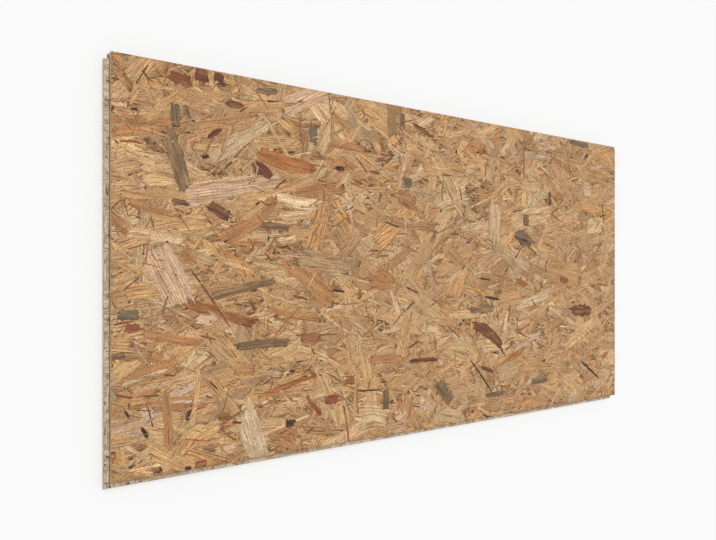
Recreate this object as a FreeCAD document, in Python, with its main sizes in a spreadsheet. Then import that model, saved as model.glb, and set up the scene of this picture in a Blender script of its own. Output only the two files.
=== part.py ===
"""Tongue and groove floor board of oriented strand board, profiled on all four edges.

The board lies flat with its good face up. +X runs along the board and +Z is up. The origin is the
middle of the blank's footprint, on the underside. One end (-X) and one long edge (-Y) carry a
tongue; the other end (+X) and the other long edge (+Y) are grooved to take the next board's tongue.

It is made the way the mill makes it. A blank with a tongue's length of extra stock on the two
tongue sides is planed to thickness, and four cutters then run right across it: one on each long
edge, one on each end. So the two tongues meet in a square corner, and each groove cutter also
trims the tongue that it runs past.
"""
import FreeCAD, Part
import Sketcher
import os

# The driving dimensions, in millimetres.
SIZES = {
    "cover_length": 1250.0,  # face length, shoulder to grooved end
    "cover_width": 625.0,  # face width, shoulder to grooved edge
    "board_thickness": 22.0,
    "tongue_length": 8.5,  # from the shoulder to the tip
    "tongue_root_thickness": 7.4,
    "tongue_tip_thickness": 6.6,  # where the taper ends and the tip's bevel starts
    "tongue_tip_bevel": 1.0,
    "groove_end_clearance": 1.5,  # gap left beyond the tip of a seated tongue
    "groove_cheek_clearance": 0.2,  # gap left on each side of a seated tongue's root
    "cutter_overrun": 6.0,  # how far each cutter's section reaches outside the blank
}

# Measures that follow from the driving dimensions, as expressions on the sheet. The cutters'
# sections are drawn with the board's middle plane as their level of reference.
HALF_LENGTH = "(Sizes.cover_length + Sizes.tongue_length) / 2"
HALF_WIDTH = "(Sizes.cover_width + Sizes.tongue_length) / 2"
MIDDLE = "Sizes.board_thickness / 2"
OUTSIDE_LEVEL = "(Sizes.board_thickness / 2 + Sizes.cutter_overrun)"
ROOT_HALF = "Sizes.tongue_root_thickness / 2"
TIP_HALF = "Sizes.tongue_tip_thickness / 2"
GROOVE_DEPTH = "(Sizes.tongue_length + Sizes.groove_end_clearance)"
GROOVE_HALF = f"({ROOT_HALF} + Sizes.groove_cheek_clearance)"


def make_sheet(doc):
    """The spreadsheet that holds the driving dimensions, one row and one alias each."""
    sheet = doc.addObject("Spreadsheet::Sheet", "Sizes")
    for row, (name, value) in enumerate(SIZES.items(), start=1):
        sheet.set(f"A{row}", name)
        sheet.set(f"B{row}", str(value))
        sheet.setAlias(f"B{row}", name)
    doc.recompute()
    return sheet


def origin_plane(body, role):
    """The body's own origin plane with this role."""
    return next(plane for plane in body.Origin.OriginFeatures if plane.Role == role)


def add_sketch(body, name, role, outlines):
    """A sketch on an origin plane. Each outline is a closed run of straight lines between corners,
    and each corner is a pair of sheet expressions, measured from the origin."""
    sketch = body.newObject("Sketcher::SketchObject", name)
    sketch.AttachmentSupport = [(origin_plane(body, role), "")]
    sketch.MapMode = "FlatFace"
    for corners in outlines:
        add_outline(sketch, corners)
    return sketch


def add_outline(sketch, corners):
    """Draws one closed outline in the sketch, with both places of every corner bound to the sheet."""
    places = [[float(sketch.evalExpression(word)) for word in corner] for corner in corners]
    points = [FreeCAD.Vector(across, up, 0) for across, up in places]
    first = sketch.GeometryCount
    for start, end in zip(points, points[1:] + points[:1]):
        sketch.addGeometry(Part.LineSegment(start, end), False)
    for index, (corner, place) in enumerate(zip(corners, places)):
        line = first + index
        previous = first + (index - 1) % len(corners)
        sketch.addConstraint(Sketcher.Constraint("Coincident", previous, 2, line, 1))
        for kind, word, value in zip(("DistanceX", "DistanceY"), corner, place):
            number = sketch.addConstraint(Sketcher.Constraint(kind, -1, 1, line, 1, value))
            sketch.setExpression(f"Constraints[{number}]", word)


def cut_through(body, name, sketch):
    """Runs a cutter of the sketch's section through the whole blank, both ways from its plane."""
    before = body.Tip.Shape.Volume
    pocket = body.newObject("PartDesign::Pocket", name)
    pocket.Profile = sketch
    pocket.Type = "ThroughAll"
    pocket.Midplane = True
    body.Document.recompute()
    if not pocket.Shape.Volume < before:
        raise RuntimeError(f"{name} cuts nothing")


def tongue_cutter(half_blank):
    """The two rebates, above and below, that leave a tongue on the negative side of a blank. Each
    is bounded by the shoulder, the tongue's tapered cheek and the bevel at its tip."""
    shoulder = f"-{half_blank} + Sizes.tongue_length"
    bevel = f"-{half_blank} + Sizes.tongue_tip_bevel"
    tip = f"-{half_blank}"
    outside = f"-{half_blank} - Sizes.cutter_overrun"
    section = [
        (shoulder, OUTSIDE_LEVEL),
        (shoulder, ROOT_HALF),
        (bevel, TIP_HALF),
        (tip, f"{TIP_HALF} - Sizes.tongue_tip_bevel"),
        (outside, f"{TIP_HALF} - Sizes.tongue_tip_bevel"),
        (outside, OUTSIDE_LEVEL),
    ]
    upper = [(across, f"{MIDDLE} + ({level})") for across, level in section]
    lower = [(across, f"{MIDDLE} - ({level})") for across, level in section]
    return [upper, lower]


def groove_cutter(half_blank):
    """The square groove on the positive side of a blank. Only the tongue tapers."""
    outside = f"{half_blank} + Sizes.cutter_overrun"
    floor = f"{half_blank} - {GROOVE_DEPTH}"
    lower_cheek = f"{MIDDLE} - {GROOVE_HALF}"
    upper_cheek = f"{MIDDLE} + {GROOVE_HALF}"
    return [
        [
            (floor, lower_cheek),
            (outside, lower_cheek),
            (outside, upper_cheek),
            (floor, upper_cheek),
        ]
    ]


def make_blank(body):
    """The planed blank: the face's length and width, each with one tongue's length of extra stock."""
    outline = [
        (f"-{HALF_LENGTH}", f"-{HALF_WIDTH}"),
        (HALF_LENGTH, f"-{HALF_WIDTH}"),
        (HALF_LENGTH, HALF_WIDTH),
        (f"-{HALF_LENGTH}", HALF_WIDTH),
    ]
    pad = body.newObject("PartDesign::Pad", "Blank")
    pad.Profile = add_sketch(body, "BlankOutline", "XY_Plane", [outline])
    pad.setExpression("Length", "Sizes.board_thickness")
    body.Document.recompute()


def make_board(doc):
    """The whole board, one piece of stock: the blank and its four profiled edges."""
    body = doc.addObject("PartDesign::Body", "Board")
    body.Label = "osb_board"
    body.Placement = FreeCAD.Placement()
    make_blank(body)
    cuts = (
        ("LongEdgeTongue", "YZ_Plane", tongue_cutter(HALF_WIDTH)),
        ("LongEdgeGroove", "YZ_Plane", groove_cutter(HALF_WIDTH)),
        ("EndTongue", "XZ_Plane", tongue_cutter(HALF_LENGTH)),
        ("EndGroove", "XZ_Plane", groove_cutter(HALF_LENGTH)),
    )
    for name, role, outlines in cuts:
        cut_through(body, name, add_sketch(body, f"{name}Section", role, outlines))
    return body


def check_model(doc, pieces):
    """Stops the run if any object failed to compute, or a piece isn't one sound solid."""
    for item in doc.Objects:
        if {"Invalid", "Error"} & set(item.State):
            raise RuntimeError(f"{item.Label} failed: {item.State}")
    for piece in pieces:
        if piece.Shape.isNull() or not piece.Shape.isValid() or len(piece.Shape.Solids) != 1:
            raise RuntimeError(f"{piece.Label} isn't one valid solid")


def main():
    os.makedirs("parts", exist_ok=True)
    doc = FreeCAD.newDocument("TongueAndGrooveBoard")
    make_sheet(doc)
    pieces = [make_board(doc)]
    doc.recompute()
    check_model(doc, pieces)
    for piece in pieces:
        piece.Shape.exportStep(f"parts/{piece.Label}.step")
        box = piece.Shape.BoundBox
        litres = piece.Shape.Volume / 1e6
        print(f"{piece.Label}: {box.XLength:.1f} x {box.YLength:.1f} x {box.ZLength:.1f} mm, {litres:.3f} l")


main()
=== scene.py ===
"""A tongue and groove board of oriented strand board: hundreds of wood strands pressed flat on both
faces, and milled edges where the strands are cut across. Metres throughout; +Z is the good face."""
from math import cos, pi, radians, sin

import bmesh
import bpy
import numpy as np
from mathutils import Matrix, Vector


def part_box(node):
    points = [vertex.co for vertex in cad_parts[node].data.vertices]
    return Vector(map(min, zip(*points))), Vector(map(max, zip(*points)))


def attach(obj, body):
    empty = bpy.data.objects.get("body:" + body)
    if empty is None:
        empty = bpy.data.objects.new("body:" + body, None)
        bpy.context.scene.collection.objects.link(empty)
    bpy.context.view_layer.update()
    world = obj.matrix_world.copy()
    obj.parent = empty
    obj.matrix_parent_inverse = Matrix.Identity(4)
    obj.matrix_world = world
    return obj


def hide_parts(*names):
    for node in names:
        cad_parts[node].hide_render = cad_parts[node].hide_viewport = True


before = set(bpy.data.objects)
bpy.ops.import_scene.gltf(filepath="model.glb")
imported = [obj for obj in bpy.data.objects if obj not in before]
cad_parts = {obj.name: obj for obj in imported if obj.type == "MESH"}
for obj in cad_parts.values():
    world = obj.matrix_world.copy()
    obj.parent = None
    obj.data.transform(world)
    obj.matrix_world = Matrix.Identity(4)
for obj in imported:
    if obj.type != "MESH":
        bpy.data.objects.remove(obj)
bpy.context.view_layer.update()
BOARD_LOW, BOARD_HIGH = (np.array(corner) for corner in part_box("osb_board"))
MM = 0.001

# The board, in metres. The tongue's length is what the profile takes off the face on two sides.
TONGUE = 8.5 * MM
TONGUE_ROOT = 7.4 * MM
THICK = BOARD_HIGH[2]
FACE_LOW = BOARD_LOW[:2] + TONGUE
FACE_HIGH = BOARD_HIGH[:2]
FACE_SIZE = FACE_HIGH - FACE_LOW

# The pressed faces. The bed is the level below which no strand's top lies.
BED_DEPTH = 0.62 * MM
STRAND_THICK = 0.7 * MM
RIM_DIP, TILT = 0.04 * MM, 0.02 * MM
SAW_STAGGER = 0.06 * MM
LOOSE_TOP, MARK_TOP = -0.10 * MM, -0.04 * MM
SEED = 4417

# Colours of the wood, as sRGB.
WOOD = {
    "straw": (0.785, 0.645, 0.460),
    "golden": (0.770, 0.612, 0.424),
    "honey": (0.750, 0.580, 0.385),
    "cream": (0.815, 0.695, 0.530),
    "pink": (0.800, 0.665, 0.530),
    "tan": (0.690, 0.530, 0.360),
    "amber": (0.680, 0.478, 0.295),
    "orange": (0.650, 0.400, 0.190),
    "rust": (0.540, 0.300, 0.155),
    "bark": (0.435, 0.230, 0.135),
    "grey": (0.475, 0.380, 0.260),
    "slate": (0.430, 0.365, 0.275),
    "umber": (0.240, 0.145, 0.080),
}
# How often each colour turns up: among whole strands, and among the splinters between them.
STRAND_SHARES = {
    "straw": 0.20,
    "golden": 0.24,
    "honey": 0.20,
    "cream": 0.08,
    "pink": 0.06,
    "tan": 0.11,
    "amber": 0.038,
    "orange": 0.006,
}
SPLINTER_SHARES = {
    "straw": 0.17,
    "golden": 0.11,
    "honey": 0.10,
    "cream": 0.24,
    "tan": 0.08,
    "amber": 0.12,
    "orange": 0.08,
    "rust": 0.06,
    "bark": 0.045,
    "umber": 0.03,
}


def linear(colour):
    """Scene-linear values of an sRGB colour, by the usual two-part curve."""
    c = np.asarray(colour, float)
    return np.where(c <= 0.04045, c / 12.92, ((c + 0.055) / 1.055) ** 2.4)


# ---------------------------------------------------------------- strands as surfaces


class Strands:
    """A batch of strands as plain arrays, one row each: middle, heading, length, width, colour,
    bend, taper, raggedness, figure (how strong its late wood lines are, how close together they
    lie, and how flecked it is) and where its grain starts. A batch shares one grid."""

    def __init__(self, middle, heading, length, width, colour, rng, bend=None, taper=None, rag=1.0):
        self.n = len(heading)
        self.middle = np.asarray(middle, float)
        self.heading = np.asarray(heading, float)
        self.length = np.asarray(length, float)
        self.width = np.asarray(width, float)
        self.colour = np.asarray(colour, float)
        self.bend = rng.normal(0, 0.02, self.n) if bend is None else np.asarray(bend, float)
        self.taper = rng.uniform(0, 0.55, self.n) ** 1.5 if taper is None else np.asarray(taper, float)
        self.rag = np.broadcast_to(rag, self.n)
        ringing = rng.uniform(0, 1, self.n) ** 1.6
        pitch = rng.uniform(0.45, 1.6, self.n)
        fleck = rng.uniform(0, 1, self.n)
        self.figure = np.stack([ringing, pitch, fleck], 1)
        self.shift = rng.uniform(0, 40, (self.n, 2))


def lanes_across(count):
    """Places across a strand, from -1 to 1. The outermost gap is narrow, so that the strand's
    top is flat and only its rim turns down."""
    if count == 2:
        return np.array([-1.0, 1.0])
    inner = np.linspace(-0.86, 0.86, count - 2)
    return np.concatenate([[-1.0], inner, [1.0]])


def strand_points(strands, steps, lanes, level, rng):
    """Tops of all strands as one array, strand by step by lane.

    Along: a point's distance from the middle is its share of the length; the two end rows are
    pulled in by a random amount in each lane, and leaned, so the ends look snapped or slanted.
    Across: its share of half the width, narrowed towards the ends by the taper and roughened a
    little at random, plus the bend, a parabola in the distance along. Then it is turned to the
    heading and moved to the middle. Up: the strand's level, a slight tilt, and a rim that dips.
    """
    n = strands.n
    share = np.linspace(-1, 1, steps)[None, :, None]
    lane = lanes_across(lanes)[None, None, :]
    length = strands.length[:, None, None]
    width = strands.width[:, None, None]
    rag = strands.rag[:, None, None]
    pull = rng.uniform(0, 1, (n, 2, lanes)) ** 2 * np.minimum(1.1 * width, 0.25 * length) * rag
    lean = rng.normal(0, 0.4, (n, 2, 1)) * np.minimum(width, 0.3 * length) * rag
    ends = np.zeros((n, steps, lanes))
    ends[:, 0] = pull[:, 0] + lean[:, 0] * lane[:, 0]
    ends[:, -1] = -pull[:, 1] + lean[:, 1] * lane[:, 0]
    along = share * length / 2 + ends
    narrow = 1 - strands.taper[:, None, None] * np.abs(share) ** 3
    rough = 1 + rng.normal(0, 0.10, (n, steps, lanes)) * rag * (np.abs(lane) > 0.99)
    bow = strands.bend[:, None, None] * length * (1 - (2 * along / length) ** 2)
    across = lane * width / 2 * narrow * rough
    turn = strands.heading[:, None, None]
    x = along * np.cos(turn) - (across + bow) * np.sin(turn) + strands.middle[:, 0, None, None]
    y = along * np.sin(turn) + (across + bow) * np.cos(turn) + strands.middle[:, 1, None, None]
    rim = (np.abs(lane) > 0.99) | (np.abs(share) > 0.99)
    tilt = rng.normal(0, 1, (n, 1, 2)) * TILT
    z = level[:, None, None] + tilt[..., :1] * share + tilt[..., 1:] * lane - RIM_DIP * rim
    points = np.stack(np.broadcast_arrays(x, y, np.minimum(z, 0)), -1)
    grain = np.stack(
        [along + strands.shift[:, :1, None], across + strands.shift[:, 1:, None]], -1
    )
    return points, grain, np.broadcast_to(rim, (n, steps, lanes)).astype(float)


def strand_mesh(strands, steps, lanes, level, rng):
    """Vertices, faces and attributes of closed plates: the top grid, a wall down from its border
    and one flat face underneath."""
    n = strands.n
    top, grain, rim = strand_points(strands, steps, lanes, level, rng)
    grid = np.arange(steps * lanes).reshape(steps, lanes)
    border = np.concatenate([grid[:, 0], grid[-1, 1:], grid[-2::-1, -1], grid[0, -2:0:-1]])
    count, ring = steps * lanes, len(border)
    flat_top = top.reshape(n, count, 3)
    foot = flat_top[:, border].copy()
    foot[..., 2] = level[:, None] - STRAND_THICK
    points = np.concatenate([flat_top, foot], 1).reshape(-1, 3)
    each = count + ring
    cells = np.stack([grid[:-1, :-1], grid[1:, :-1], grid[1:, 1:], grid[:-1, 1:]], -1).reshape(-1, 4)
    low = count + np.arange(ring)
    walls = np.stack([border, low, np.roll(low, -1), np.roll(border, -1)], -1)
    quads = np.concatenate([cells, walls])
    first = (np.arange(n) * each)[:, None, None]
    corners = np.concatenate(
        [(quads[None] + first).reshape(n, -1), (low[::-1][None] + first[:, :, 0])], 1
    ).ravel()
    sizes = np.tile(np.concatenate([np.full(len(quads), 4), [ring]]), n)

    def per_point(values):
        """One value per top point, repeated for the foot of the border."""
        flat = values.reshape(n, count, -1)
        return np.concatenate([flat, flat[:, border]], 1).reshape(n * each, -1)

    spread = np.ones((n, steps, lanes, 1))
    return {
        "points": points,
        "corners": corners,
        "sizes": sizes,
        "grain": per_point(grain),
        "rim": per_point(rim[..., None])[:, 0],
        "stain": per_point(strands.colour[:, None, None, :] * spread),
        "figure": per_point(strands.figure[:, None, None, :] * spread),
    }


def join(batches):
    """Several batches' arrays end to end, with the corners counted on."""
    start, parts = 0, []
    for batch in batches:
        parts.append({**batch, "corners": batch["corners"] + start})
        start += len(batch["points"])
    return {key: np.concatenate([part[key] for part in parts]) for key in parts[0]}


def to_object(name, data, materials):
    """A mesh object of these arrays, at the origin, with its attributes and grain map."""
    mesh = bpy.data.meshes.new(name)
    mesh.vertices.add(len(data["points"]))
    mesh.vertices.foreach_set("co", data["points"].astype(np.float32).ravel())
    mesh.loops.add(len(data["corners"]))
    mesh.loops.foreach_set("vertex_index", data["corners"].astype(np.int32))
    mesh.polygons.add(len(data["sizes"]))
    starts = np.concatenate([[0], np.cumsum(data["sizes"])[:-1]]).astype(np.int32)
    mesh.polygons.foreach_set("loop_start", starts)
    mesh.update(calc_edges=True)
    grain = mesh.uv_layers.new(name="grain")
    grain.uv.foreach_set("vector", data["grain"][data["corners"]].astype(np.float32).ravel())
    rim = mesh.attributes.new("rim", "FLOAT", "POINT")
    rim.data.foreach_set("value", data["rim"].astype(np.float32))
    for key in ("stain", "figure"):
        layer = mesh.attributes.new(key, "FLOAT_COLOR", "POINT")
        full = np.concatenate([data[key], np.ones((len(data[key]), 1))], 1)
        layer.data.foreach_set("color", full.astype(np.float32).ravel())
    piece = bpy.data.objects.new(name, mesh)
    bpy.context.scene.collection.objects.link(piece)
    for material in materials:
        mesh.materials.append(material)
    return piece


def trim_to(piece, planes):
    """Saws a piece off along planes, each a point and the normal of the side that is dropped, and
    closes what the saw opens with faces of the piece's second material."""
    work = bmesh.new()
    work.from_mesh(piece.data)
    for point, normal in planes:
        everything = work.verts[:] + work.edges[:] + work.faces[:]
        cut = bmesh.ops.bisect_plane(
            work, geom=everything, dist=1e-7, plane_co=point, plane_no=normal, clear_outer=True
        )
        open_edges = [
            item for item in cut["geom_cut"] if isinstance(item, bmesh.types.BMEdge) and item.is_boundary
        ]
        for face in bmesh.ops.holes_fill(work, edges=open_edges, sides=0)["faces"]:
            face.material_index = 1
    work.to_mesh(piece.data)
    work.free()
    piece.data.update()


# ---------------------------------------------------------------- shader arithmetic


class Value:
    """A number on a shader socket. Plain arithmetic on it adds Math nodes."""

    def __init__(self, paint, socket):
        self.paint, self.socket = paint, socket

    def _math(self, operation, *others):
        return self.paint.math(operation, self, *others)

    def __add__(self, other):
        return self._math("ADD", other)

    def __sub__(self, other):
        return self._math("SUBTRACT", other)

    def __rsub__(self, other):
        return self.paint.math("SUBTRACT", other, self)

    def __mul__(self, other):
        return self._math("MULTIPLY", other)

    __radd__, __rmul__ = __add__, __mul__


class Paint:
    """One material under construction, with a method for each kind of node that is needed."""

    def __init__(self, name):
        self.material = bpy.data.materials.new(name)
        self.material.use_nodes = True
        self.tree = self.material.node_tree
        self.tree.nodes.clear()

    def node(self, kind, settings=None, **inputs):
        """Adds a node, applies its settings, then sets or links each named input."""
        made = self.tree.nodes.new(kind)
        for key, value in (settings or {}).items():
            setattr(made, key, value)
        for key, value in inputs.items():
            name = key.replace("_", " ")
            by_number = key[0] == "i" and key[1:].isdigit()
            self.feed(made.inputs[int(key[1:]) if by_number else name], value)
        return made

    def feed(self, socket, value):
        """Links a socket to another, or sets its value."""
        if isinstance(value, Value):
            value = value.socket
        if isinstance(value, bpy.types.NodeSocket):
            self.tree.links.new(value, socket)
        else:
            socket.default_value = value

    def math(self, operation, *values):
        inputs = {f"i{k}": value for k, value in enumerate(values)}
        made = self.node("ShaderNodeMath", {"operation": operation}, **inputs)
        return Value(self, made.outputs[0])

    def step(self, value, low, high):
        """0 below low, 1 above high, and smooth between."""
        made = self.node(
            "ShaderNodeMapRange",
            {"interpolation_type": "SMOOTHSTEP"},
            Value=value,
            From_Min=low,
            From_Max=high,
        )
        return Value(self, made.outputs["Result"])

    def vector(self, x, y, z=0.0):
        return self.node("ShaderNodeCombineXYZ", X=x, Y=y, Z=z).outputs[0]

    def split(self, socket):
        made = self.node("ShaderNodeSeparateXYZ", Vector=socket)
        return [Value(self, made.outputs[k]) for k in range(3)]

    def noise(self, place, detail=2.0, roughness=0.5, scale=1.0):
        made = self.node(
            "ShaderNodeTexNoise",
            {"noise_dimensions": "3D"},
            Vector=place,
            Scale=scale,
            Detail=detail,
            Roughness=roughness,
        )
        return Value(self, made.outputs[0])

    def attribute(self, name):
        return self.node("ShaderNodeAttribute", {"attribute_name": name})

    def mix(self, share, first, second, blend="MIX"):
        """A colour between two, or the second blended over the first."""
        settings = {"data_type": "RGBA", "blend_type": blend, "clamp_factor": True}
        made = self.node("ShaderNodeMix", settings, i0=share, i6=first, i7=second)
        return made.outputs[2]

    def brighten(self, colour, amount):
        """A colour times a number."""
        made = self.node("ShaderNodeVectorMath", {"operation": "SCALE"}, i0=colour, Scale=amount)
        return made.outputs[0]

    def finish(self, height=None, relief=0.0, **principled):
        """The Principled shader, with a bump of this relief in metres where a height is given."""
        if height is not None:
            bump = self.node("ShaderNodeBump", Strength=1.0, Distance=relief, Height=height)
            principled["Normal"] = bump.outputs[0]
        shader = self.node("ShaderNodeBsdfPrincipled", **principled)
        self.node("ShaderNodeOutputMaterial", Surface=shader.outputs[0])
        return self.material


def rgba(colour):
    return (*linear(colour), 1.0)


def strand_finish():
    """A strand's own wood: patches that fade towards plain golden wood, late wood lines that
    wander along the grain, streaks of fibre, short dark pores, and resin with painted shade that darkens
    some rims.
    Over all the strands lies what the press leaves: a slow drift in tone, and wood dust pressed
    flat in light and dark specks, the pale specks also standing as painted glints."""
    p = Paint("strand_wood")
    u, v, _ = p.split(p.node("ShaderNodeUVMap", {"uv_map": "grain"}).outputs[0])
    ringing, pitch, fleck = p.split(p.attribute("figure").outputs["Vector"])
    rim = Value(p, p.attribute("rim").outputs["Fac"])
    stain = p.attribute("stain").outputs["Color"]
    place = p.node("ShaderNodeTexCoord").outputs["Object"]
    patches = p.noise(p.vector(u * 17, v * 75), detail=2, roughness=0.6)
    drift = p.noise(p.vector(u * 16, v * 110, 7.0), detail=2, roughness=0.6)
    wander = p.noise(p.vector(u * 9, v * 30), detail=1)
    wave = p.math("SINE", v * 1500 * pitch + wander * 34)
    late = p.step(wave, 0.25, 0.95)
    streaks = p.noise(p.vector(u * 15, v * 430), detail=2, roughness=0.65)
    fibre = p.noise(p.vector(u * 90, v * 1700), detail=3, roughness=0.65)
    pores = p.step(p.noise(p.vector(u * 55, v * 620), detail=2), 0.60, 0.67)
    press = p.noise(place, scale=26, detail=3, roughness=0.6)
    dust_and_glints = p.noise(place, scale=520, detail=2, roughness=0.7)
    fade = p.step(patches, 0.44, 0.68) * (0.34 + 0.40 * fleck)
    wood = p.mix(fade, stain, rgba((0.725, 0.570, 0.385)))
    late_tone = p.mix(1.0, wood, (0.66, 0.45, 0.26, 1.0), "MULTIPLY")
    wood = p.mix(late * (0.30 + 0.70 * ringing), wood, late_tone)
    light_tone = p.mix(1.0, wood, (1.30, 1.38, 1.50, 1.0), "MULTIPLY")
    wood = p.mix(p.step(1 - streaks, 0.53, 0.65) * 0.85, wood, light_tone)
    dark_tone = p.mix(1.0, wood, (0.50, 0.34, 0.20, 1.0), "MULTIPLY")
    wood = p.mix(p.step(streaks, 0.57, 0.67) * 0.95, wood, dark_tone)
    lighten = (0.59 + 0.84 * drift) * (0.76 + 0.56 * fibre) * (0.80 + 0.40 * press)
    wood = p.brighten(wood, lighten)
    # Pale specks: pressed dust and painted glints. Then dark specks of dust.
    pale_glint_tone = p.mix(1.0, wood, (1.55, 1.70, 2.00, 1.0), "MULTIPLY")
    wood = p.mix(p.step(dust_and_glints, 0.60, 0.66) * 0.60, wood, pale_glint_tone)
    wood = p.mix(p.step(1 - dust_and_glints, 0.60, 0.65) * 0.80, wood, rgba((0.30, 0.17, 0.08)))
    wood = p.mix(pores * (0.35 + 0.50 * fleck), wood, rgba((0.32, 0.19, 0.11)))
    # Painted shade along the rims of some strands, with resin: a thin dark line where strands meet.
    rim_shade_and_resin = p.step(rim, 0.55, 1.0) * p.step(fleck, 0.55, 0.95)
    wood = p.mix(rim_shade_and_resin * 0.5, wood, rgba((0.35, 0.21, 0.12)))
    return p.finish(
        height=fibre * 0.7 + late * 0.3 + streaks * 0.4 - pores * 0.5,
        relief=0.16 * MM,
        Base_Color=wood,
        Roughness=0.50 + 0.22 * fibre + 0.08 * pores,
    )


def root_shade_and_dust(p, x, y, z):
    """1 in the inner corners where a tongue leaves its shoulder, where shade is painted, with dust."""
    from_shoulder = p.math(
        "MINIMUM",
        p.math("ABSOLUTE", x - float(FACE_LOW[0])),
        p.math("ABSOLUTE", y - float(FACE_LOW[1])),
    )
    from_middle = p.math("ABSOLUTE", z - float(THICK) / 2)
    from_cheek = p.math("ABSOLUTE", from_middle - TONGUE_ROOT / 2)
    return 1 - p.step(p.math("MAXIMUM", from_shoulder, from_cheek), 0.3 * MM, 1.6 * MM)


def edge_finish():
    """The milled edges: strands cut across and along, in thin layers that wander in level, some
    running with the board and some across it, with torn fibres standing pale and gaps darkened by
    painted shade."""
    p = Paint("milled_edge")
    x, y, z = p.split(p.node("ShaderNodeTexCoord").outputs["Object"])
    wander = p.noise(p.vector(x * 9, y * 9, z * 30), detail=2) * 0.012
    way = p.step(p.noise(p.vector(x * 26, y * 26, z * 500)), 0.47, 0.53)

    def either_way(slow, fast, level, detail):
        """A noise drawn out along the board in some places and across it in the others."""
        along = p.noise(p.vector(x * slow, y * fast, level), detail=detail, roughness=0.6)
        across = p.noise(p.vector(x * fast, y * slow, level), detail=detail, roughness=0.6)
        return along * way + across * (1 - way)

    layers = either_way(30, 260, (z + wander) * 900, 2)
    tone = either_way(14, 90, z * 330, 1)
    grit = p.noise(p.vector(x * 420, y * 420, z * 900), detail=2, roughness=0.7)
    gaps = p.step(either_way(75, 420, (z + wander) * 1500, 2), 0.60, 0.66)
    fluff = p.step(1 - grit, 0.54, 0.64)
    colour = p.mix(p.step(layers, 0.38, 0.60), rgba((0.82, 0.75, 0.65)), rgba((0.67, 0.55, 0.42)))
    colour = p.brighten(colour, (0.72 + 0.50 * tone) * (0.74 + 0.56 * grit))
    colour = p.mix(fluff * 0.5, colour, rgba((0.88, 0.83, 0.76)))
    # Painted shade in the gaps between the cut strands.
    colour = p.mix(gaps * 0.85, colour, rgba((0.20, 0.15, 0.11)))
    # Painted shade, with dust, in the inner corners at the tongues' roots.
    colour = p.mix(root_shade_and_dust(p, x, y, z) * 0.75, colour, rgba((0.27, 0.19, 0.13)))
    return p.finish(
        height=layers * 0.5 + grit * 0.4 - gaps * 1.5,
        relief=0.3 * MM,
        Base_Color=colour,
        Roughness=0.78 + 0.12 * grit,
    )


def bed_finish():
    """The bed under the strands, seen only in the gaps between them: lower strands, painted brown as
    the shade in the gaps, with small dark holes of painted shade."""
    p = Paint("strand_bed")
    place = p.node("ShaderNodeTexCoord").outputs["Object"]
    x, y, z = p.split(place)
    strands = p.noise(p.vector(x * 60, y * 320, z), detail=3, roughness=0.6)
    crumbs = p.noise(p.vector(x * 420, y * 420, z * 420), detail=3, roughness=0.65)
    holes = p.step(p.noise(p.vector(x * 55, y * 300, z), detail=2), 0.54, 0.62)
    # Lower strands, painted darker brown as the shade under the loose strands; then holes darkened with
    # painted shade.
    colour = p.mix(p.step(strands, 0.35, 0.65), rgba((0.50, 0.34, 0.20)), rgba((0.72, 0.56, 0.38)))
    colour = p.mix(holes * 0.9, colour, rgba((0.19, 0.12, 0.08)))
    colour = p.brighten(colour, 0.7 + 0.6 * crumbs)
    return p.finish(
        height=crumbs * 0.5 + strands * 0.5 - holes * 0.8,
        relief=0.3 * MM,
        Base_Color=colour,
        Roughness=0.80 + 0.12 * crumbs,
    )


# ---------------------------------------------------------------- the board's pieces


def draw_colours(shares, n, rng):
    """A colour for each strand, drawn by the shares above and varied a little in tone and warmth."""
    odds = np.array(list(shares.values()))
    table = np.array([WOOD[name] for name in shares])
    picked = table[rng.choice(len(shares), n, p=odds / odds.sum())]
    tone = rng.normal(1, 0.045, (n, 1))
    warmth = rng.normal(0, 0.009, (n, 1)) * np.array([1.0, 0.0, -1.0])
    return linear(np.clip(picked * tone + warmth, 0, 1))


# Each kind of loose strand: how many lie on a face, the least and most length and width in
# millimetres, how strongly they line up with the board (1 is in line, 0 is any way), the grid of
# its top, and its colours.
KINDS = (
    ("broad", 620, (80, 175), (16, 42), 0.72, (9, 6), STRAND_SHARES),
    ("middling", 1700, (35, 120), (4, 16), 0.55, (7, 5), STRAND_SHARES),
    ("slivers", 3900, (9, 46), (1.1, 3.8), 0.4, (5, 2), SPLINTER_SHARES),
    ("crumbs", 3600, (2.5, 11), (1.0, 3.2), 0.0, (3, 2), SPLINTER_SHARES),
)
FACE_COURSES, BACK_COURSES, BACK_SHARE = 10, 6, 0.85


def loose_batch(kind, count, rng):
    """Loose strands of one kind, anywhere on the face."""
    _, _, lengths, widths, order, _, shares = kind
    middle = FACE_LOW + rng.uniform(-0.02, 1.02, (count, 2)) * FACE_SIZE
    skew = rng.normal(0, 1, count) * radians(26)
    anyway = rng.uniform(-pi / 2, pi / 2, count)
    heading = np.where(rng.uniform(0, 1, count) < order, skew, anyway)
    length = rng.uniform(*lengths, count) * MM
    width = (widths[0] + (widths[1] - widths[0]) * rng.uniform(0, 1, count) ** 1.5) * MM
    return Strands(middle, heading, length, width, draw_colours(shares, count, rng), rng)


def face_courses(side, courses, share, rng, materials):
    """The loose strands of one face as a few courses, laid one on another. Within a course the
    strands differ in level too, so the order in which they lie is mixed."""
    pieces = []
    for course in range(courses):
        batches = []
        for kind in KINDS:
            count = round(kind[1] * share / courses)
            strands = loose_batch(kind, count, rng)
            rise = (course + rng.uniform(0, 1, count)) / courses
            level = LOOSE_TOP - (BED_DEPTH + LOOSE_TOP) * (1 - rise)
            batches.append(strand_mesh(strands, *kind[5], level, rng))
        pieces.append(to_object(f"{side}_course_{course + 1}", join(batches), materials))
    return pieces
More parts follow.
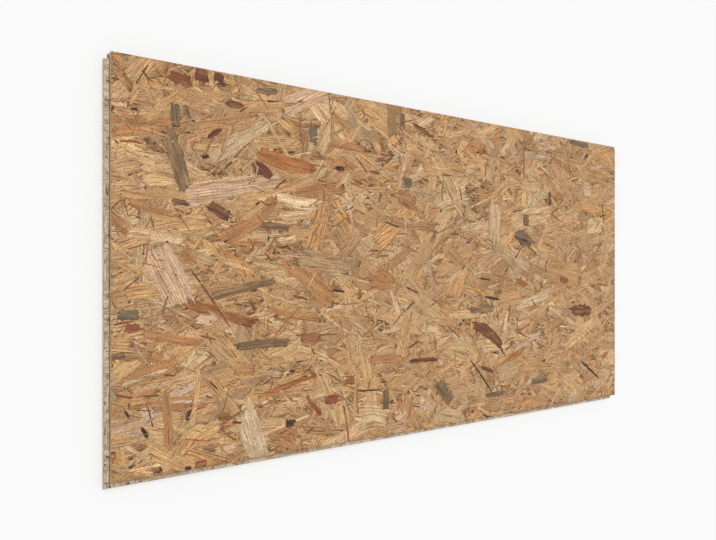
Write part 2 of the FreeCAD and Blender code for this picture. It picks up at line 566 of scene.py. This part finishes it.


# The strands that stand out on the good face, in millimetres: both ends of each,
# measured from the tongued end and from the grooved edge, then its width, colour, bend (its bow as
# a share of its length), taper and raggedness.
MARKS = (
    (94, 59, 99, 100, 15, "slate", 0, 0.4, 1),
    (81, 97, 115, 198, 24, "grey", 0.01, 0.0, 0.5),
    (234, 120, 347, 139, 26, "orange", -0.03, 0.35, 0.5),
    (312, 132, 349, 141, 16, "rust", 0, 0.5, 0.6),
    (226, 139, 266, 161, 21, "bark", 0, 0.85, 0.5),
    (86, 19, 122, 25, 18, "rust", 0, 0.3, 1),
    (127, 10, 150, 11, 21, "bark", 0, 0.2, 0.6),
    (159, 8, 178, 11, 14, "bark", 0, 0.3, 1.2),
    (178, 49, 214, 48, 12, "bark", 0, 0.9, 0.5),
    (234, 19, 279, 15, 11, "slate", 0, 0.8, 0.6),
    (188, 56, 294, 38, 21, "honey", 0.02, 0.3, 1),
    (28, 80, 39, 80, 4, "umber", 0.1, 0.5, 1),
    (11, 129, 42, 127, 4, "rust", 0.03, 0.6, 1),
    (139, 139, 152, 136, 7, "umber", 0, 0.4, 1.5),
    (149, 109, 174, 91, 9, "bark", 0.05, 0.8, 0.8),
    (90, 209, 120, 214, 9, "umber", 0, 0.5, 1.2),
    (149, 212, 189, 232, 20, "bark", 0.02, 0.5, 0.8),
    (106, 200, 292, 165, 32, "pink", 0.01, 0.15, 0.8),
    (164, 269, 275, 188, 26, "amber", -0.08, 0.5, 0.6),
    (206, 232, 262, 194, 12, "golden", -0.06, 0.5, 0.8),
    (238, 240, 301, 245, 13, "grey", 0.01, 0.3, 1),
    (242, 199, 274, 201, 6, "rust", -0.25, 0.5, 0.8),
    (12, 206, 131, 201, 15, "honey", 0.01, 0.2, 0.8),
    (0, 116, 66, 108, 14, "amber", 0.02, 0.3, 1),
    (59, 275, 111, 375, 52, "pink", 0, 0.3, 1),
    (55, 284, 66, 302, 2, "umber", 0, 0.6, 0.5),
    (66, 301, 79, 302, 2, "umber", 0, 0.6, 0.5),
    (119, 312, 186, 405, 4, "rust", 0.01, 0.5, 0.5),
    (156, 358, 272, 332, 14, "grey", 0.01, 0.2, 0.5),
    (9, 382, 42, 382, 15, "slate", 0, 0.2, 1.2),
    (19, 402, 42, 401, 12, "rust", 0, 0.4, 1),
    (0, 442, 21, 441, 9, "slate", 0, 0.4, 1),
    (0, 359, 24, 354, 28, "honey", 0, 0.2, 1),
    (224, 366, 233, 383, 4, "umber", 0, 0.7, 0.5),
    (258, 439, 319, 378, 3, "orange", 0.02, 0.4, 0.5),
    (262, 442, 323, 382, 2, "orange", 0.02, 0.4, 0.5),
    (136, 418, 164, 426, 4, "rust", 0, 0.6, 0.6),
    (146, 412, 156, 431, 3, "rust", 0, 0.6, 0.6),
    (192, 439, 301, 438, 14, "grey", 0.01, 0.2, 0.8),
    (192, 475, 234, 478, 20, "amber", 0, 0.3, 1),
    (121, 524, 115, 549, 7, "umber", 0, 0.1, 0.5),
    (81, 499, 86, 589, 14, "amber", 0.01, 0.1, 0.6),
    (19, 521, 26, 533, 4, "umber", 0, 0.5, 1),
    (44, 549, 54, 566, 6, "umber", 0, 0.5, 1),
    (165, 549, 189, 549, 14, "rust", 0, 0.4, 1),
    (290, 576, 308, 576, 12, "umber", 0, 0.4, 1.2),
    (236, 526, 351, 500, 8, "orange", 0.02, 0.4, 0.6),
    (127, 619, 148, 619, 12, "rust", 0, 0.1, 0.5),
    (111, 621, 123, 622, 6, "umber", 0, 0.5, 0.5),
    (388, 36, 386, 92, 9, "tan", 0, 0.3, 0.8),
    (374, 94, 464, 95, 14, "amber", 0.05, 0.5, 0.6),
    (347, 61, 346, 95, 17, "slate", 0, 0.3, 1),
    (550, 11, 549, 39, 11, "grey", 0, 0.2, 0.8),
    (380, 201, 382, 220, 19, "tan", 0, 0.3, 1),
    (574, 30, 626, 50, 10, "bark", 0.02, 0.7, 0.8),
    (392, 132, 414, 134, 8, "umber", 0.05, 0.8, 1),
    (468, 132, 495, 134, 6, "umber", 0, 0.7, 1),
    (539, 170, 584, 188, 29, "amber", 0, 0.4, 1),
    (550, 179, 568, 192, 9, "umber", 0, 0.7, 1),
    (552, 144, 574, 145, 21, "slate", 0, 0.4, 1.2),
    (556, 194, 558, 251, 3, "golden", 0, 0.3, 0.5),
    (464, 332, 532, 334, 35, "amber", 0, 0.85, 0.5),
    (386, 350, 414, 354, 6, "umber", 0.05, 0.6, 1.4),
    (318, 431, 364, 434, 19, "rust", 0, 0.5, 1),
    (468, 480, 551, 482, 16, "amber", 0.01, 0.4, 0.8),
    (564, 491, 645, 492, 9, "bark", 0.02, 0.5, 0.8),
    (330, 530, 364, 571, 9, "rust", 0, 0.6, 0.8),
    (368, 544, 401, 544, 16, "rust", 0, 0.5, 1),
    (415, 513, 436, 514, 16, "rust", 0, 0.1, 0.6),
    (442, 535, 501, 538, 3, "umber", 0, 0.6, 0.6),
    (509, 536, 508, 595, 16, "grey", 0, 0.2, 0.8),
    (436, 574, 520, 594, 34, "cream", 0, 0.2, 0.8),
    (809, 161, 809, 262, 32, "cream", 0, 0.3, 0.8),
    (872, 232, 931, 252, 29, "slate", 0, 0.7, 0.8),
    (876, 240, 919, 251, 10, "umber", 0, 0.7, 1),
    (908, 186, 911, 215, 21, "grey", 0, 0.3, 1),
    (649, 260, 721, 311, 28, "tan", 0.02, 0.6, 1),
    (740, 425, 834, 482, 25, "bark", 0.07, 0.6, 0.6),
    (1070, 406, 1154, 410, 28, "bark", 0, 0.7, 0.8),
    (965, 309, 1120, 328, 60, "honey", 0, 0.6, 1.2),
    (1000, 325, 1062, 338, 19, "rust", 0, 0.8, 1),
    (729, 396, 808, 395, 16, "grey", 0.01, 0.3, 0.8),
    (776, 369, 825, 376, 5, "umber", 0, 0.6, 0.8),
    (669, 426, 706, 454, 4, "umber", 0, 0.6, 0.6),
    (640, 536, 680, 582, 28, "grey", 0, 0.3, 1),
    (763, 516, 804, 530, 9, "bark", 0, 0.6, 1),
    (733, 499, 799, 573, 4, "umber", 0.01, 0.5, 0.5),
    (780, 579, 838, 578, 11, "slate", 0, 0.4, 0.8),
    (925, 562, 988, 562, 14, "slate", 0, 0.4, 1),
    (1109, 529, 1184, 578, 5, "umber", 0, 0.6, 0.5),
    (878, 526, 983, 524, 31, "honey", 0, 0.6, 1),
    (1062, 8, 1145, 9, 12, "slate", 0, 0.5, 1),
    (903, 12, 902, 112, 3, "rust", 0, 0.4, 0.5),
    (992, 131, 992, 164, 9, "umber", 0, 0.7, 0.8),
    (1118, 119, 1154, 120, 34, "pink", 0, 0.3, 1),
)
# The two knots that show: middle, radius along and across the board, heading of the long way in
# degrees, and how many rings.
KNOTS = (
    (117, 294, 17, 11, -25, 4),
    (499, 333, 32, 19, 5, 5),
)
RING_WIDTH = 2.2
MARK_COLOUR_DRIFT, MARK_RAG = 0.02, 1.4
SPLINTER_SHARE = 0.16  # of the loose slivers and crumbs, over again


def knot_rings():
    """Rows like those of MARKS for the rings of both knots, each ring an upper and a lower bow."""
    rows = []
    for x, y, along, across, heading, count in KNOTS:
        for ring in range(1, count + 1):
            reach = along * ring / count
            dx, dy = reach * cos(radians(heading)), reach * sin(radians(heading))
            colour = ("rust", "orange", "amber")[min(ring, 3) - 1]
            bow = 0.5 * across / along
            for bend in (bow, -bow):
                rows.append((x - dx, y - dy, x + dx, y + dy, RING_WIDTH, colour, bend, 0.5, 0.5))
    return rows


def standout_strands(rng, materials):
    """The strands listed above, on top of the loose ones."""
    marks = [*MARKS, *knot_rings()]
    table = np.array([mark[:5] for mark in marks], float) * MM
    shape = np.array([mark[6:] for mark in marks], float)
    corner = np.array([FACE_LOW[0], FACE_HIGH[1]])
    first, last = (corner + table[:, k : k + 2] * np.array([1, -1]) for k in (0, 2))
    reach = last - first
    tone = rng.normal(1, MARK_COLOUR_DRIFT, (len(marks), 1))
    strands = Strands(
        (first + last) / 2,
        np.arctan2(reach[:, 1], reach[:, 0]),
        np.hypot(reach[:, 0], reach[:, 1]),
        table[:, 4],
        linear(np.array([WOOD[mark[5]] for mark in marks]) * tone),
        rng,
        bend=shape[:, 0],
        taper=shape[:, 1],
        rag=shape[:, 2] * MARK_RAG,
    )
    strands.figure[:, 2] *= 0.35
    level = LOOSE_TOP + (MARK_TOP - LOOSE_TOP) * np.linspace(0.2, 1, len(marks))
    return to_object("face_standouts", strand_mesh(strands, 15, 9, level, rng), materials)


def top_splinters(rng, materials):
    """Fine splinters pressed into the very top of the good face, over everything else."""
    batches = []
    for kind in (KINDS[2], KINDS[3]):
        count = round(kind[1] * SPLINTER_SHARE)
        strands = loose_batch(kind, count, rng)
        level = MARK_TOP * rng.uniform(0, 1, count)
        batches.append(strand_mesh(strands, *kind[5], level, rng))
    return to_object("face_splinters", join(batches), materials)


def face_planes():
    """The four planes along which a face's strands are sawn off."""
    return [
        ((FACE_LOW[0], 0, 0), (-1, 0, 0)),
        ((FACE_HIGH[0], 0, 0), (1, 0, 0)),
        ((0, FACE_LOW[1], 0), (0, -1, 0)),
        ((0, FACE_HIGH[1], 0), (0, 1, 0)),
    ]


def stagger_sawn_ends(piece):
    """Sets each strand's sawn end back by a hair, each by its own amount, so that no two of them
    lie in one plane. The amount is the strand's first figure value times SAW_STAGGER."""
    mesh = piece.data
    points = np.empty(len(mesh.vertices) * 3, np.float32)
    mesh.vertices.foreach_get("co", points)
    points = points.reshape(-1, 3)
    figure = np.empty(len(mesh.vertices) * 4, np.float32)
    mesh.attributes["figure"].data.foreach_get("color", figure)
    inset = (0.2 + 0.8 * figure.reshape(-1, 4)[:, 0]) * SAW_STAGGER
    for axis in (0, 1):
        points[:, axis] += inset * (np.abs(points[:, axis] - FACE_LOW[axis]) < 1e-6)
        points[:, axis] -= inset * (np.abs(points[:, axis] - FACE_HIGH[axis]) < 1e-6)
    mesh.vertices.foreach_set("co", points.ravel())
    mesh.update()


def move_points(piece, change):
    """Replaces a mesh's points by change of them, an array function."""
    mesh = piece.data
    points = np.empty(len(mesh.vertices) * 3, np.float32)
    mesh.vertices.foreach_get("co", points)
    mesh.vertices.foreach_set("co", change(points.reshape(-1, 3)).astype(np.float32).ravel())
    mesh.update()


def raise_to_face(points):
    """From a face drawn with its outside at level 0 to the good face."""
    return points + np.array([0, 0, THICK])


def turn_to_underside(points):
    """The same, turned half round the board's length so that it faces down."""
    middle = (FACE_LOW[1] + FACE_HIGH[1]) / 2
    return points * np.array([1, -1, -1]) + np.array([0, 2 * middle, 0])


def board_core(bed, edge):
    """The board without its outermost strands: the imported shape, with both faces sunk to the bed."""
    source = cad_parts["osb_board"]
    mesh = source.data.copy()
    mesh.name = "board_core"
    mesh.materials.clear()
    piece = bpy.data.objects.new("board_core", mesh)
    bpy.context.scene.collection.objects.link(piece)
    work = bmesh.new()
    work.from_mesh(mesh)
    bmesh.ops.remove_doubles(work, verts=work.verts[:], dist=1e-6)
    bmesh.ops.dissolve_limit(work, angle_limit=radians(1), verts=work.verts[:], edges=work.edges[:])
    for vert in work.verts:
        if vert.co.z > THICK - 1e-5:
            vert.co.z = THICK - BED_DEPTH
        elif vert.co.z < 1e-5:
            vert.co.z = BED_DEPTH
    for face in work.faces:
        level = face.calc_center_median().z
        outer = level > THICK - BED_DEPTH * 1.5 or level < BED_DEPTH * 1.5
        face.material_index = int(outer and abs(face.normal.z) > 0.9)
    work.to_mesh(mesh)
    work.free()
    mesh.materials.append(edge)
    mesh.materials.append(bed)
    return piece


# ---------------------------------------------------------------- floor, light and camera


def floor_finish():
    """Matt white. What the camera sees of it is lifted to white, and keeps the board's shadow."""
    p = Paint("studio_floor")
    rays = p.node("ShaderNodeLightPath")
    seen = p.math(
        "MAXIMUM",
        Value(p, rays.outputs["Is Camera Ray"]),
        p.math(
            "MAXIMUM",
            Value(p, rays.outputs["Is Glossy Ray"]),
            Value(p, rays.outputs["Is Transmission Ray"]),
        ),
    )
    matt = p.node("ShaderNodeBsdfDiffuse", Color=(0.9, 0.9, 0.9, 1.0))
    glow = p.node("ShaderNodeEmission", Color=(1, 1, 1, 1), Strength=1.0)
    both = p.node("ShaderNodeMixShader", i0=seen * 0.55, i1=matt.outputs[0], i2=glow.outputs[0])
    p.node("ShaderNodeOutputMaterial", Surface=both.outputs[0])
    return p.material


def make_floor():
    reach = 8.0
    corners = [(-reach, -reach, 0), (reach, -reach, 0), (reach, reach, 0), (-reach, reach, 0)]
    mesh = bpy.data.meshes.new("floor")
    mesh.from_pydata(corners, [], [(0, 1, 2, 3)])
    floor = bpy.data.objects.new("floor", mesh)
    bpy.context.scene.collection.objects.link(floor)
    mesh.materials.append(floor_finish())


def make_light():
    """An even white sky and one broad soft lamp, high over the far long edge."""
    world = bpy.data.worlds.new("studio")
    bpy.context.scene.world = world
    world.use_nodes = True
    world.node_tree.nodes["Background"].inputs["Color"].default_value = (1, 1, 1, 1)
    world.node_tree.nodes["Background"].inputs["Strength"].default_value = 0.62
    lamp = bpy.data.lights.new("soft_lamp", "SUN")
    lamp.energy = 1.35
    lamp.angle = radians(24)
    holder = bpy.data.objects.new("soft_lamp", lamp)
    bpy.context.scene.collection.objects.link(holder)
    holder.rotation_euler = (radians(-24), radians(-14), 0)


# The view: the eye stands off the tongued end and looks down along the board, with the board's
# width upright in the picture.
VIEW_TILT = radians(36.5)  # between the line of sight and straight down
LENS = 34.55  # mm, on a 36 mm wide film
EYE_DISTANCE = 0.9916  # from the eye to the shoulder, measured along the line of sight
EYE_ASIDE = 0.3562  # how far the shoulder lies left of the line of sight
EYE_BELOW_EDGE = 0.3246  # how far the eye lies below the grooved long edge in the picture
LENS_RISE = 0.0081  # in film widths


def make_camera():
    right = np.array([cos(VIEW_TILT), 0, sin(VIEW_TILT)])
    up = np.array([0, 1, 0])
    back = np.cross(right, up)
    corner = np.array([FACE_LOW[0], FACE_HIGH[1], THICK])
    eye = corner + EYE_ASIDE * right - EYE_BELOW_EDGE * up + EYE_DISTANCE * back
    data = bpy.data.cameras.new("camera")
    data.sensor_width = 36
    data.lens = LENS
    data.shift_y = LENS_RISE
    data.clip_start = 0.01
    camera = bpy.data.objects.new("camera", data)
    bpy.context.scene.collection.objects.link(camera)
    turn = np.eye(4)
    turn[:3, 0], turn[:3, 1], turn[:3, 2], turn[:3, 3] = right, up, back, eye
    camera.matrix_world = Matrix(turn.tolist())
    bpy.context.scene.camera = camera


def main():
    rng = np.random.default_rng(SEED)
    edge_wood = edge_finish()
    strand_woods = (strand_finish(), edge_wood)
    core = board_core(bed_finish(), edge_wood)
    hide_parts("osb_board")
    pieces = [core]
    good = face_courses("face", FACE_COURSES, 1.0, rng, strand_woods)
    good.append(standout_strands(rng, strand_woods))
    good.append(top_splinters(rng, strand_woods))
    for piece in good:
        trim_to(piece, face_planes())
        stagger_sawn_ends(piece)
        move_points(piece, raise_to_face)
    under = face_courses("back", BACK_COURSES, BACK_SHARE, rng, strand_woods)
    for piece in under:
        trim_to(piece, face_planes())
        stagger_sawn_ends(piece)
        move_points(piece, turn_to_underside)
    for piece in pieces + good + under:
        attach(piece, "root")
    make_floor()
    make_light()
    make_camera()
    bpy.context.scene.view_settings.view_transform = "Standard"


main()
